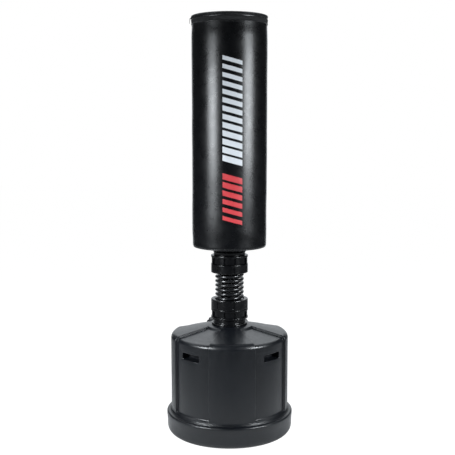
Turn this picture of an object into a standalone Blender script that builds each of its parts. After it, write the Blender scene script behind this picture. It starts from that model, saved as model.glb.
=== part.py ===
"""Free-standing boxing bag: a fillable eight-panel base, a sprung neck and a padded bag.

Units are metres, +Z is up, the origin is at the middle of the underside and
the front of the bag faces -Y. Azimuths are measured from the front (-Y)
towards +X.
"""
import bpy
import bmesh
import math
from mathutils import Matrix, Vector

# ---------------------------------------------------------------- sizes ---
GAP = 0.0003                    # clearance between touching pieces

# base tank
BODY_R = 0.2400                 # outside radius of the four raised panels
RECESS = 0.0090                 # depth of the four recessed panels
PANELS = 8
FLANGE_R = 0.2580               # widest radius of the bottom flange
FLANGE_TOP_Z = 0.0915
BODY_FOOT_Z = 0.1020            # where the panels start above the flange
SHOULDER_R = 0.0250             # radius of the corner between wall and shoulder
SHOULDER_Z = 0.3915             # where the wall starts to turn
SHOULDER_SLOPE = 0.2179         # fall of the shoulder from the plateau to the corner
PLATEAU_R = 0.0800
PLATEAU_Z = 0.4465              # flat top round the neck
RECESS_IN_R = 0.0960            # inner end of the recessed panels
TANK_WALL = 0.0050
THROAT_R = 0.0560               # hole in the plateau for the neck spigot

# hand pockets, one in each recessed panel
POCKET_W = 0.0900
POCKET_H = 0.0270
POCKET_D = 0.0400
POCKET_Z = 0.3470
POCKET_AZ = (45.0, 135.0, 225.0, 315.0)

# filler port
FILL_X, FILL_Y = -0.0573, 0.1105
FILL_SEAT_Z = 0.4280
FILL_BORE_R = 0.0190
CAP_R = 0.0260
CAP_TOP_Z = 0.4455

# sprung neck
GRIPS = 7                       # grooves on each housing, lugs on each ring
GRIP_PHASE = 10.3
LUG_PHASE = 24.5
NECK_LOW_R = 0.0664
RING_R = 0.0756
WAIST_R = 0.0675
LUG_R = 0.0735
HOUSING_R = 0.0754
SPRING_BORE_R = 0.0602
LOW_RING_Z = (0.4730, 0.4805, 0.5050, 0.5130)
LOW_HOUSING_Z = (0.5135, 0.5530)
UP_HOUSING_Z = (0.6620, 0.6980)
UP_RING_Z = (0.6985, 0.7260, 0.7330)
COIL_R = 0.0530                 # centre line of the outer spring
WIRE_R = 0.0060
INNER_COIL_R = 0.0395
INNER_WIRE_R = 0.0045
SPRING_END_Z = (0.5100, 0.7020) # faces of the two spring plates that the springs press on
COIL_PITCH = 0.0180
BOLT_PCR = 0.0230
BOLT_R = 0.0050

# bag
BAG_R = 0.1500
BAG_BOTTOM_Z = 0.7663
BAG_EDGE_R = 0.0120
COVER_T = 0.0020
COVER_TOP_Z = 1.6725
ZIP_TOP_Z = 1.6800
LID_TOP_Z = 1.6870
LID_HEM_Z = 1.6785
HEM_R = 0.1517
CORE_R = 0.0380
SLIDER_AZ = 270.0               # parked on the left
SLIDER_Z = 1.6743
PULL_Z = 1.6738
PULL_LENGTH = 0.0200

ROUND = 40


# -------------------------------------------------------------- helpers ---
def clear_scene():
    for old in list(bpy.data.objects):
        bpy.data.objects.remove(old, do_unlink=True)


def material(name, colour, rough, metal=0.0):
    mat = bpy.data.materials.get(name)
    if mat is None:
        mat = bpy.data.materials.new(name)
        mat.use_nodes = True
        bsdf = mat.node_tree.nodes["Principled BSDF"]
        bsdf.inputs["Base Color"].default_value = (*colour, 1.0)
        bsdf.inputs["Roughness"].default_value = rough
        bsdf.inputs["Metallic"].default_value = metal
    return mat


def put(name, bm, mat, smooth=True, parent=None, origin=(0.0, 0.0, 0.0)):
    """Turn a bmesh given in world coordinates into an object whose origin is at origin."""
    bmesh.ops.remove_doubles(bm, verts=bm.verts, dist=1e-6)
    bmesh.ops.recalc_face_normals(bm, faces=bm.faces)
    bmesh.ops.translate(bm, verts=bm.verts, vec=-Vector(origin))
    mesh = bpy.data.meshes.new(name)
    bm.to_mesh(mesh)
    bm.free()
    mesh.materials.append(mat)
    if smooth:
        mesh.shade_smooth()
        mesh.set_sharp_from_angle(angle=math.radians(35))
    obj = bpy.data.objects.new(name, mesh)
    bpy.context.scene.collection.objects.link(obj)
    obj.location = origin
    if parent is not None:
        obj.location = Vector(origin) - parent.location
        obj.parent = parent
    return obj


def pivot(name, location, parent=None):
    empty = bpy.data.objects.new(name, None)
    bpy.context.scene.collection.objects.link(empty)
    empty.location = location
    empty.empty_display_size = 0.03
    if parent is not None:
        empty.location = Vector(location) - parent.matrix_world.translation
        empty.parent = parent
    return empty


def turned_bm(profile, steps=ROUND, closed=True, centre=(0.0, 0.0)):
    """Spin a profile of (radius, z) points about a vertical axis."""
    bm = bmesh.new()
    verts = [bm.verts.new((r, 0.0, z)) for r, z in profile]
    edges = [bm.edges.new((verts[i], verts[i + 1])) for i in range(len(verts) - 1)]
    if closed:
        edges.append(bm.edges.new((verts[-1], verts[0])))
    bmesh.ops.spin(bm, geom=verts + edges, axis=(0, 0, 1), cent=(0, 0, 0),
                   steps=steps, angle=2 * math.pi, use_merge=True)
    bmesh.ops.remove_doubles(bm, verts=bm.verts, dist=1e-6)
    bmesh.ops.translate(bm, verts=bm.verts, vec=(centre[0], centre[1], 0.0))
    return bm


def turned(name, profile, mat, steps=ROUND, closed=True, centre=(0.0, 0.0), **kw):
    return put(name, turned_bm(profile, steps, closed, centre), mat, **kw)


def cutter(name, bm):
    obj = put(name, bm, material("cutter", (1, 0, 0), 0.5), smooth=False)
    obj.display_type = 'WIRE'
    obj.hide_render = True
    return obj


def boolean(obj, tool, operation='DIFFERENCE'):
    mod = obj.modifiers.new(operation.lower() + "_" + tool.name, 'BOOLEAN')
    mod.operation = operation
    mod.solver = 'EXACT'
    mod.object = tool
    return mod


def box_bm(size, matrix):
    bm = bmesh.new()
    bmesh.ops.create_cube(bm, size=1.0, matrix=matrix @ Matrix.Diagonal((*size, 1.0)))
    return bm


def spot(azimuth, radius, z=0.0):
    a = math.radians(azimuth)
    return Vector((radius * math.sin(a), -radius * math.cos(a), z))


def face_out(azimuth, radius, z):
    """Local X runs round the bag, local Y points inwards, local Z is up."""
    return Matrix.Translation(spot(azimuth, radius, z)) @ Matrix.Rotation(math.radians(azimuth), 4, 'Z')


def arc(centre, radius, start, end, count):
    """Points on an arc in the (radius, z) plane, angles from +R towards +Z."""
    out = []
    for i in range(count + 1):
        a = math.radians(start + (end - start) * i / count)
        out.append((centre[0] + radius * math.cos(a), centre[1] + radius * math.sin(a)))
    return out


def merged(parts):
    """One bmesh out of several separate ones."""
    whole = bmesh.new()
    for bm in parts:
        mesh = bpy.data.meshes.new("part")
        bm.to_mesh(mesh)
        bm.free()
        whole.from_mesh(mesh)
        bpy.data.meshes.remove(mesh)
    return whole


# ------------------------------------------------------------ materials ---
clear_scene()
TANK = material("tank_plastic", (0.018, 0.020, 0.023), 0.42)
GLOSS = material("coupling_plastic", (0.006, 0.006, 0.007), 0.22)
STEEL = material("black_steel", (0.010, 0.010, 0.011), 0.25, 0.6)
ZINC = material("zinc_steel", (0.55, 0.55, 0.56), 0.35, 1.0)
PU = material("pu_leather", (0.010, 0.010, 0.012), 0.38)
FOAM = material("foam", (0.12, 0.12, 0.13), 0.9)
BOARD = material("board", (0.30, 0.19, 0.10), 0.7)
RUBBER = material("seal_rubber", (0.015, 0.015, 0.015), 0.7)
CAP = material("cap_plastic", (0.008, 0.008, 0.009), 0.35)
TAPE = material("zip_tape", (0.008, 0.008, 0.009), 0.8)
PULL = material("zip_metal", (0.02, 0.02, 0.02), 0.3, 0.7)


# ------------------------------------------------------------- the tank ---
def tank_profile():
    """Outside of the tank, from the middle of the underside up to the throat.

    Each entry is (radius, z, recess share)."""
    pts = [(0.0, 0.0100, 0.0), (0.180, 0.0100, 0.0), (0.192, 0.0, 0.0), (0.228, 0.0, 0.0)]
    pts += [(r, z, 0.0) for r, z in arc((0.228, 0.028), 0.028, -62, 0, 3)]
    pts += [(0.2562, 0.0550, 0.0), (FLANGE_R, 0.0810, 0.0), (0.2565, 0.0872, 0.0),
            (0.2522, 0.0905, 0.0), (0.2452, FLANGE_TOP_Z + 0.0010, 0.0),
            (0.2424, 0.0985, 0.0),
            (BODY_R, BODY_FOOT_Z, 0.15), (BODY_R, BODY_FOOT_Z + 0.006, 1.0)]
    turn = 90.0 - math.degrees(math.atan(SHOULDER_SLOPE))
    pts += [(r, z, 1.0) for r, z in arc((BODY_R - SHOULDER_R, SHOULDER_Z), SHOULDER_R, 0, turn, 4)]
    slope = SHOULDER_SLOPE
    for r, share in ((0.160, 1.0), (RECESS_IN_R + 0.005, 1.0), (RECESS_IN_R, 0.08), (RECESS_IN_R - 0.001, 0.0)):
        pts.append((r, PLATEAU_Z - slope * (r - PLATEAU_R), share))
    pts += [(PLATEAU_R, PLATEAU_Z, 0.0), (0.0, PLATEAU_Z, 0.0)]
    return pts


def tank_azimuths():
    """Sample directions and how far each one is recessed."""
    half = 180.0 / PANELS
    edge = 1.1
    out = []
    for k in range(PANELS):
        start = k * 2 * half - half
        deep = 1.0 if k % 2 else 0.0
        for part in (edge, 10.0, half, 2 * half - 10.0, 2 * half - edge):
            out.append((start + part, deep))
    return out


def offset_points(pts):
    """Inward unit normal of the profile at each point."""
    out = []
    for i, (r, z, share) in enumerate(pts):
        a = Vector(pts[max(i - 1, 0)][:2])
        b = Vector(pts[min(i + 1, len(pts) - 1)][:2])
        d = (b - a).normalized()
        out.append(Vector((-d.y, d.x)))
    return out


def tank_outer_bm():
    pts = tank_profile()
    normals = offset_points(pts)
    directions = tank_azimuths()
    bm = bmesh.new()
    rings = []
    for (r, z, share), n in zip(pts, normals):
        if r < 1e-9:
            rings.append([bm.verts.new((0, 0, z))])
            continue
        ring = []
        for az, deep in directions:
            d = RECESS * share * deep
            ring.append(bm.verts.new(spot(az, r + n.x * d, z + n.y * d)))
        rings.append(ring)
    count = len(directions)
    for low, high in zip(rings, rings[1:]):
        for i in range(count):
            j = (i + 1) % count
            if len(low) == 1:
                bm.faces.new((low[0], high[j], high[i]))
            elif len(high) == 1:
                bm.faces.new((low[i], low[j], high[0]))
            else:
                bm.faces.new((low[i], low[j], high[j], high[i]))
    return bm


def tank_inner_bm():
    w = TANK_WALL
    r = BODY_R - RECESS - w
    top = PLATEAU_Z - RECESS - 0.007
    pts = [(0.0, 0.0100 + w), (0.186, 0.0100 + w), (0.194, w), (0.230, w)]
    pts += [(x, z) for x, z in arc((0.230, 0.028), 0.021, -50, 0, 2)]
    pts += [(0.2510, 0.0800), (r, 0.0930), (r, 0.3900), (r - 0.003, 0.3985), (r - 0.010, 0.4015)]
    pts += [(PLATEAU_R, top), (0.0, top)]
    return turned_bm(pts, 32, closed=False)


tank = put("base_tank", tank_outer_bm(), TANK)

hollow = cutter("tank_hollow", tank_inner_bm())
for k, az in enumerate(POCKET_AZ):
    wall = 0.0045
    shell = cutter("pocket_shell_%d" % (k + 1),
                   box_bm((POCKET_W + 2 * wall, POCKET_D + 0.05, POCKET_H + 2 * wall),
                          face_out(az, BODY_R - RECESS - POCKET_D - wall + (POCKET_D + 0.05) / 2, POCKET_Z)))
    boolean(hollow, shell)
boss = cutter("fill_boss", turned_bm([(0.0, FILL_SEAT_Z), (0.0310, FILL_SEAT_Z), (0.0310, 0.4020), (0.0, 0.4020)],
                                     24, closed=False, centre=(FILL_X, FILL_Y)))
boolean(tank, boss, 'UNION')
boss_gap = cutter("fill_boss_inside", turned_bm([(0.0, 0.4225), (0.0260, 0.4225), (0.0260, 0.3600), (0.0, 0.3600)],
                                                24, closed=False, centre=(FILL_X, FILL_Y)))
boolean(tank, hollow)
boolean(tank, boss_gap)
spot_face = cutter("fill_spot_face", turned_bm([(0.0, 0.470), (0.0340, 0.470), (0.0340, FILL_SEAT_Z + 0.0001), (0.0, FILL_SEAT_Z + 0.0001)],
                                               24, closed=False, centre=(FILL_X, FILL_Y)))
boolean(tank, spot_face)
fill_bore = cutter("fill_bore", turned_bm([(0.0, 0.480), (FILL_BORE_R, 0.480), (FILL_BORE_R, 0.380), (0.0, 0.380)],
                                          24, closed=False, centre=(FILL_X, FILL_Y)))
boolean(tank, fill_bore)
throat = cutter("tank_throat", turned_bm([(0.0, 0.480), (THROAT_R, 0.480), (THROAT_R, 0.380), (0.0, 0.380)],
                                         32, closed=False))
boolean(tank, throat)
for k, az in enumerate(POCKET_AZ):
    pocket = cutter("pocket_%d" % (k + 1),
                    box_bm((POCKET_W, POCKET_D + 0.05, POCKET_H),
                           face_out(az, BODY_R - RECESS - POCKET_D + (POCKET_D + 0.05) / 2, POCKET_Z)))
    boolean(tank, pocket)

# filler cap and its seal, both on the port's axis
seal = turned("filler_gasket", [(0.0180, FILL_SEAT_Z + 0.0024), (0.0235, FILL_SEAT_Z + 0.0024),
                                (0.0240, FILL_SEAT_Z + 0.0014), (0.0235, FILL_SEAT_Z + 0.0004),
                                (0.0180, FILL_SEAT_Z + 0.0004)],
              RUBBER, 24, centre=(FILL_X, FILL_Y), origin=(FILL_X, FILL_Y, FILL_SEAT_Z))
cap_low = FILL_SEAT_Z + 0.0027
cap = turned("filler_cap", [(0.0, CAP_TOP_Z - 0.0035), (0.0150, CAP_TOP_Z - 0.0035), (0.0165, CAP_TOP_Z),
                            (CAP_R - 0.002, CAP_TOP_Z), (CAP_R, CAP_TOP_Z - 0.002), (CAP_R, cap_low + 0.001),
                            (CAP_R - 0.001, cap_low), (0.0176, cap_low), (0.0176, 0.4090), (0.0166, 0.4080),
                            (0.0, 0.4080)],
             CAP, 32, closed=False, centre=(FILL_X, FILL_Y), origin=(FILL_X, FILL_Y, FILL_SEAT_Z))
grip_bar = cutter("cap_bar", box_bm((0.0300, 0.0060, 0.0045),
                                    Matrix.Translation((FILL_X, FILL_Y, CAP_TOP_Z - 0.0028))))
boolean(cap, grip_bar, 'UNION')


# --------------------------------------------------------- sprung neck ---
lower_neck = turned("base_neck", [
    (0.0, 0.4940), (0.0598, 0.4940), (0.0600, 0.4935), (0.0600, 0.4720), (NECK_LOW_R, 0.4715),
    (NECK_LOW_R, 0.4550), (0.0715, 0.4546), (0.0733, 0.4530), (0.0733, 0.4485), (0.0725, PLATEAU_Z + GAP),
    (THROAT_R - 0.0004, PLATEAU_Z + GAP), (THROAT_R - 0.0004, 0.4060), (0.0505, 0.4060),
    (0.0505, 0.4850), (0.0, 0.4850)], GLOSS, ROUND, closed=False)


def grooved(obj, radius, z0, z1, azimuths, width, depth):
    """Cut upright grooves round a turned piece."""
    bms = []
    for az in azimuths:
        bms.append(box_bm((width, 2 * depth, z1 - z0), face_out(az, radius, (z0 + z1) / 2)))
    tool = cutter(obj.name + "_grooves", merged(bms))
    boolean(obj, tool)


def ring_bm(zs, bore, counter, flip, waist=WAIST_R):
    """A lock ring: flanges with a waist between them. zs go from the outer end to the housing end."""
    s = -1.0 if flip else 1.0
    pts = []
    if len(zs) == 4:
        a, b, c, d = zs
        pts = [(bore, a), (RING_R - 0.001, a), (RING_R, a + 0.001 * s), (RING_R, b - 0.0008 * s),
               (RING_R - 0.001, b), (waist, b), (waist, c), (RING_R - 0.001, c), (RING_R, c + 0.0008 * s),
               (RING_R, d - 0.001 * s), (RING_R - 0.001, d), (counter, d), (counter, a + 0.010 * s), (bore, a + 0.010 * s)]
    else:
        a, b, d = zs
        pts = [(bore, a), (RING_R - 0.001, a), (RING_R, a + 0.001 * s), (RING_R, b - 0.0008 * s),
               (RING_R - 0.001, b), (waist, b), (waist, d), (counter, d), (counter, a + 0.010 * s), (bore, a + 0.010 * s)]
    return turned_bm(pts, ROUND)


def lugs_bm(z0, z1, phase):
    """Wide lugs standing on the waist; they sink into the flanges and the waist."""
    bms = []
    for k in range(GRIPS):
        az = phase + 360.0 * k / GRIPS
        bm = box_bm((0.0200, 0.0080, z1 - z0), face_out(az, LUG_R - 0.0040, (z0 + z1) / 2))
        bms.append(bm)
    return merged(bms)


low_ring_hub = pivot("lower_ring_axis", (0, 0, 0.493))
low_ring = put("lower_lock_ring", ring_bm(LOW_RING_Z, 0.0606, 0.0648, False), GLOSS,
               parent=low_ring_hub, origin=(0, 0, 0.493))
low_lugs = cutter("lower_lugs", lugs_bm(LOW_RING_Z[1] - 0.001, LOW_RING_Z[2] + 0.001, LUG_PHASE))
boolean(low_ring, low_lugs, 'UNION')

groove_az = [GRIP_PHASE + 360.0 * k / GRIPS for k in range(GRIPS)]


def housing(name, z_in, z_out, floor, flip):
    """Cup that holds one end of the springs. z_in is the closed end, z_out the mouth."""
    s = -1.0 if flip else 1.0
    pts = [(0.0, floor), (0.0640, floor), (0.0640, z_in), (HOUSING_R - 0.001, z_in),
           (HOUSING_R, z_in + 0.001 * s), (HOUSING_R, z_out - 0.003 * s), (HOUSING_R - 0.003, z_out),
           (SPRING_BORE_R + 0.001, z_out), (SPRING_BORE_R, z_out - 0.001 * s), (SPRING_BORE_R, floor + 0.009 * s),
           (0.0, floor + 0.009 * s)]
    if flip:
        pts = pts[::-1]
    obj = turned(name, pts, GLOSS, ROUND, closed=False)
    lo, hi = sorted((z_in + 0.006 * s, z_out - 0.004 * s))
    grooved(obj, HOUSING_R, lo, hi, groove_az, 0.0060, 0.0028)
    return obj


LOW_FLOOR = 0.4943
UP_FLOOR = 0.7177
low_housing = housing("lower_spring_housing", LOW_HOUSING_Z[0], LOW_HOUSING_Z[1], LOW_FLOOR, False)
up_housing = housing("upper_spring_housing", UP_HOUSING_Z[1], UP_HOUSING_Z[0], UP_FLOOR, True)

low_plate = turned("lower_spring_plate", [(0.0, 0.5096), (0.0592, 0.5096), (0.0598, 0.5090), (0.0598, 0.5042),
                                          (0.0592, 0.5036), (0.0, 0.5036)], STEEL, 32, closed=False)
up_plate = turned("upper_spring_plate", [(0.0, 0.7084), (0.0592, 0.7084), (0.0598, 0.7078), (0.0598, 0.7030),
                                         (0.0592, 0.7024), (0.0, 0.7024)], STEEL, 32, closed=False)

up_neck = turned("upper_neck", [
    (CORE_R + 0.0006, 0.7186), (0.0585, 0.7186), (0.0585, 0.7340), (0.0645, 0.7345), (0.0645, 0.7460),
    (0.0690, 0.7500), (0.0770, 0.7545), (0.0880, 0.7572), (0.0900, 0.7590), (0.0900, 0.7650), (0.0890, 0.7660),
    (CORE_R + 0.0006, 0.7660)], GLOSS, ROUND)

up_ring_hub = pivot("upper_ring_axis", (0, 0, 0.716))
up_ring = put("upper_lock_ring", ring_bm((UP_RING_Z[2], UP_RING_Z[1], UP_RING_Z[0]), 0.0591, 0.0648, True), GLOSS,
              parent=up_ring_hub, origin=(0, 0, 0.716))
up_lugs = cutter("upper_lugs", lugs_bm(UP_RING_Z[0] + 0.0005, UP_RING_Z[1] + 0.001, LUG_PHASE))
boolean(up_ring, up_lugs, 'UNION')

# three bolts through each spring plate and housing floor
for side, plate, cup, anchor, flip in (("lower", low_plate, low_housing, lower_neck, False),
                                       ("upper", up_plate, up_housing, None, True)):
    for k in range(3):
        at = spot(60.0 + 120.0 * k, BOLT_PCR)
        if not flip:
            top, shank = 0.5099, 0.4870
            pts = [(0.0, top + 0.0060), (0.0078, top + 0.0060), (0.0085, top + 0.0050), (0.0085, top), (BOLT_R, top),
                   (BOLT_R, shank), (0.0, shank)]
            lo, hi = 0.4866, 0.5200
        else:
            top, shank = 0.7021, 0.7182
            pts = [(0.0, shank), (BOLT_R, shank), (BOLT_R, top), (0.0085, top), (0.0085, top - 0.0050),
                   (0.0078, top - 0.0060), (0.0, top - 0.0060)]
            lo, hi = 0.6900, 0.7400
        turned("%s_bolt_%d" % (side, k + 1), pts, ZINC, 12, closed=False, centre=(at.x, at.y))
        hole = cutter("%s_bolt_hole_%d" % (side, k + 1),
                      turned_bm([(0.0, hi), (BOLT_R + 0.0005, hi), (BOLT_R + 0.0005, lo), (0.0, lo)], 12,
                                closed=False, centre=(at.x, at.y)))
        boolean(plate, hole)
        boolean(cup, hole)
        if anchor is not None:
            boolean(anchor, hole)


# ------------------------------------------------------------- springs ---
def spring_bm(coil_r, wire_r, z0, z1, pitch, hand, phase, per_turn=12, sides=5):
    """Compression spring with one closed turn at each end."""
    height = z1 - z0
    shut = 2 * wire_r + 0.0006
    middle = (height - 2 * shut) / pitch
    turns = middle + 2.0
    steps = int(round(turns * per_turn))
    path = []
    for i in range(steps + 1):
        t = turns * i / steps
        if t < 1.0:
            z = z0 + shut * t
        elif t > turns - 1.0:
            z = z1 - shut * (turns - t)
        else:
            z = z0 + shut + pitch * (t - 1.0)
        a = phase + hand * 2 * math.pi * t
        path.append(Vector((coil_r * math.cos(a), coil_r * math.sin(a), z)))
    bm = bmesh.new()
    loops = []
    for i, p in enumerate(path):
        tangent = (path[min(i + 1, steps)] - path[max(i - 1, 0)]).normalized()
        out = Vector((p.x, p.y, 0.0)).normalized()
        up = tangent.cross(out).normalized()
        out = up.cross(tangent).normalized()
        loop = []
        for k in range(sides):
            b = 2 * math.pi * (k + 0.5) / sides
            loop.append(bm.verts.new(p + wire_r * (math.cos(b) * out + math.sin(b) * up)))
        loops.append(loop)
    for one, two in zip(loops, loops[1:]):
        for k in range(sides):
            j = (k + 1) % sides
            bm.faces.new((one[k], one[j], two[j], two[k]))
    bm.faces.new(loops[0][::-1])
    bm.faces.new(loops[-1])
    return bm


spring_hub = pivot("side_tilt_axis", (0, 0, 0.558))
fore_hub = pivot("fore_tilt_axis", (0, 0, 0.654))
for name, coil_r, wire_r, hand, phase in (("outer_spring", COIL_R, WIRE_R, 1, 0.6),
                                          ("inner_spring", INNER_COIL_R, INNER_WIRE_R, -1, 2.2)):
    put(name, spring_bm(coil_r, wire_r, SPRING_END_Z[0] + wire_r, SPRING_END_Z[1] - wire_r, COIL_PITCH, hand, phase),
        STEEL, parent=spring_hub, origin=tuple(spring_hub.location))


# ----------------------------------------------------------------- bag ---
turned("core_tube", [(CORE_R, 1.6400), (CORE_R, 0.7200), (0.0340, 0.7200), (0.0340, 1.6400)], STEEL, 32)

board = turned("bottom_board", [(CORE_R + 0.0006, 0.7868), (0.1450, 0.7868), (0.1455, 0.7863), (0.1455, 0.7760),
                                (0.1420, 0.7700), (0.1380, 0.7688), (CORE_R + 0.0006, 0.7688)], BOARD, ROUND)

turned("foam_core", [(CORE_R + 0.0010, 1.6548), (0.1472, 1.6548), (0.1472, 0.7872), (CORE_R + 0.0010, 0.7872)],
       FOAM, 24)

inner_r = BAG_R - COVER_T
cover_pts = [(BAG_R, COVER_TOP_Z)] + [(BAG_R, 1.20)]
cover_pts += arc((BAG_R - BAG_EDGE_R, BAG_BOTTOM_Z + BAG_EDGE_R), BAG_EDGE_R, 0, -90, 4)
cover_pts += [(0.0450, BAG_BOTTOM_Z), (0.0450, BAG_BOTTOM_Z + COVER_T)]
cover_pts += arc((BAG_R - BAG_EDGE_R, BAG_BOTTOM_Z + BAG_EDGE_R), BAG_EDGE_R - COVER_T, -90, 0, 4)
cover_pts += [(inner_r, 1.20), (inner_r, COVER_TOP_Z)]
cover = turned("bag_cover", cover_pts, PU, ROUND)

for k in range(4):
    at = spot(45.0 + 90.0 * k, 0.0780)
    turned("neck_screw_%d" % (k + 1),
           [(0.0, 0.7800), (0.0030, 0.7790), (0.0030, 0.7612), (0.0055, 0.7588), (0.0, 0.7588)][::1],
           ZINC, 10, closed=False, centre=(at.x, at.y))
    hole = cutter("neck_screw_hole_%d" % (k + 1),
                  turned_bm([(0.0, 0.7806), (0.0034, 0.7806), (0.0034, 0.7616), (0.0100, 0.7540), (0.0100, 0.7450),
                             (0.0, 0.7450)], 10, closed=False, centre=(at.x, at.y)))
    for piece in (up_neck, cover, board):
        boolean(piece, hole)

turned("top_board", [(0.0, 1.6641), (0.1440, 1.6641), (0.1450, 1.6631), (0.1450, 1.6561), (0.1440, 1.6551),
                     (0.0, 1.6551)], BOARD, ROUND, closed=False)
turned("top_pad", [(0.0, 1.6846), (0.1400, 1.6846), (0.1460, 1.6820), (0.1470, 1.6760), (0.1470, 1.6644),
                   (0.0, 1.6644)], FOAM, ROUND, closed=False)

turned("zip_tape", [(0.1500, ZIP_TOP_Z), (0.1500, COVER_TOP_Z + GAP), (0.1478, COVER_TOP_Z + GAP), (0.1478, ZIP_TOP_Z)],
       TAPE, ROUND)

lid_pts = [(0.0, LID_TOP_Z), (0.1440, LID_TOP_Z)]
lid_pts += arc((0.1462, LID_TOP_Z - 0.0050), 0.0050, 60, 0, 3)
lid_pts += [(0.1515, LID_TOP_Z - 0.0055), (HEM_R, LID_HEM_Z + 0.0020), (HEM_R, LID_HEM_Z + 0.0005), (HEM_R - 0.0005, LID_HEM_Z),
            (0.1509, LID_HEM_Z), (0.1503, LID_HEM_Z + 0.0005), (0.1503, ZIP_TOP_Z + GAP), (0.1484, ZIP_TOP_Z + 0.0015),
            (0.1484, ZIP_TOP_Z + 0.0025), (0.1430, 1.6850), (0.0, 1.6850)]
turned("bag_lid", lid_pts, PU, ROUND, closed=False)


# zip slider and its pull, which hangs from the slider's bridge
slider_r = BAG_R + 0.0003
at = face_out(SLIDER_AZ, slider_r + 0.0024, SLIDER_Z)
zip_axis = pivot("zip_axis", (0, 0, SLIDER_Z))
slider = put("zip_slider", box_bm((0.0085, 0.0040, 0.0075), at), PULL, smooth=False, parent=zip_axis,
             origin=(0, 0, SLIDER_Z))
slider.modifiers.new("edges", 'BEVEL').width = 0.0008
slider.modifiers["edges"].segments = 2
pull_at = spot(SLIDER_AZ, slider_r + 0.0070, PULL_Z)
pull = put("zip_pull", box_bm((0.0070, 0.0016, PULL_LENGTH),
                              face_out(SLIDER_AZ, slider_r + 0.0070, PULL_Z + 0.0010 - PULL_LENGTH / 2)), PULL,
           smooth=False, origin=tuple(pull_at))
eye = cutter("pull_eye", box_bm((0.0036, 0.0060, 0.0040), face_out(SLIDER_AZ, slider_r + 0.0070, PULL_Z - 0.0025)))
boolean(pull, eye)

# everything above the springs tilts with the bag
carried = ["upper_spring_plate", "upper_spring_housing", "upper_neck", "core_tube", "bottom_board", "foam_core",
           "bag_cover", "zip_tape", "top_board", "top_pad", "bag_lid"]
carried += ["upper_bolt_%d" % (k + 1) for k in range(3)] + ["neck_screw_%d" % (k + 1) for k in range(4)]
for name in carried:
    piece = bpy.data.objects[name]
    piece.location = piece.location - fore_hub.location
    piece.parent = fore_hub
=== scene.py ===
import math

import bmesh
import bpy
import numpy as np
from mathutils import Matrix, Vector
from mathutils.bvhtree import BVHTree


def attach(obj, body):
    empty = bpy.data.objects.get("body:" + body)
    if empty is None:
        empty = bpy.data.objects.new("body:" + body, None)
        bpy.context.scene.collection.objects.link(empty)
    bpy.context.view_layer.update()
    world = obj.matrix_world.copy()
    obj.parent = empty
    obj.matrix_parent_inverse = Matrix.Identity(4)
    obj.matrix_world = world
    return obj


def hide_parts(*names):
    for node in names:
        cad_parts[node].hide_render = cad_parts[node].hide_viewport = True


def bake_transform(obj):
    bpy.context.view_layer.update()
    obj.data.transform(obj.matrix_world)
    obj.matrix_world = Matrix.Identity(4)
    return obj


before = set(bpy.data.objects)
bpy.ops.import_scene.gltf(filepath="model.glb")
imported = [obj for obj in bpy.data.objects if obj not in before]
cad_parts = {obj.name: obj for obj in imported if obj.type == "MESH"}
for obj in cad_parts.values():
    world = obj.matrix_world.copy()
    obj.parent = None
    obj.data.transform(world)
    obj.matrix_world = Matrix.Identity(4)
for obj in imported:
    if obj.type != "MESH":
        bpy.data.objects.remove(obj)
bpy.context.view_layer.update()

scene = bpy.context.scene

# ------------------------------------------------------------------ camera ---
cam_data = bpy.data.cameras.new("camera")
cam = bpy.data.objects.new("camera", cam_data)
scene.collection.objects.link(cam)
CAM_AZ = -2.5            # the camera stands a little to the left of the object's front
cam.location = (3.405 * math.sin(math.radians(CAM_AZ)), -3.405 * math.cos(math.radians(CAM_AZ)), 1.250)
cam.rotation_euler = (math.radians(90.0 - 6.80), 0.0, math.radians(CAM_AZ))
cam_data.sensor_width = 36.0
cam_data.lens = 843.0 / 455.0 * 36.0
cam_data.shift_x = -2.0 / 455.0
scene.camera = cam


# ------------------------------------------------------------ mesh helpers ---
def link(mesh, name, mats, smooth=38):
    obj = bpy.data.objects.new(name, mesh)
    scene.collection.objects.link(obj)
    for m in (mats if isinstance(mats, (list, tuple)) else [mats]):
        mesh.materials.append(m)
    if smooth is not None:
        mesh.shade_smooth()
        if smooth < 180:
            mesh.set_sharp_from_angle(angle=math.radians(smooth))
    return obj


def raw(name, verts, faces, mats, smooth=38, fix=False):
    mesh = bpy.data.meshes.new(name)
    mesh.from_pydata([tuple(v) for v in np.asarray(verts, float).tolist()], [], faces)
    mesh.validate()
    if fix:
        bm = bmesh.new()
        bm.from_mesh(mesh)
        bmesh.ops.remove_doubles(bm, verts=bm.verts, dist=2e-6)
        bmesh.ops.recalc_face_normals(bm, faces=bm.faces)
        bm.to_mesh(mesh)
        bm.free()
    mesh.update()
    return link(mesh, name, mats, smooth)


def spot(az, r, z=0.0):
    a = math.radians(az)
    return Vector((r * math.sin(a), -r * math.cos(a), z))


def soften(pts, radius, closed=True, n=3):
    """Round the corners of a (radius, z) outline with short curves."""
    out = []
    count = len(pts)
    for i, p in enumerate(pts):
        if not closed and i in (0, count - 1):
            out.append(tuple(p[:2]))
            continue
        rad = p[2] if len(p) > 2 else radius
        a = Vector(pts[i - 1][:2])
        b = Vector(pts[(i + 1) % count][:2])
        c = Vector(p[:2])
        u, v = a - c, b - c
        t = min(rad, 0.42 * u.length, 0.42 * v.length)
        if t < 1e-5 or u.length < 1e-7 or v.length < 1e-7:
            out.append(tuple(c))
            continue
        s, e = c + u.normalized() * t, c + v.normalized() * t
        for k in range(n + 1):
            f = k / n
            q = s * (1 - f) ** 2 + c * 2 * f * (1 - f) + e * f * f
            out.append((q.x, q.y))
    return out


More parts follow.
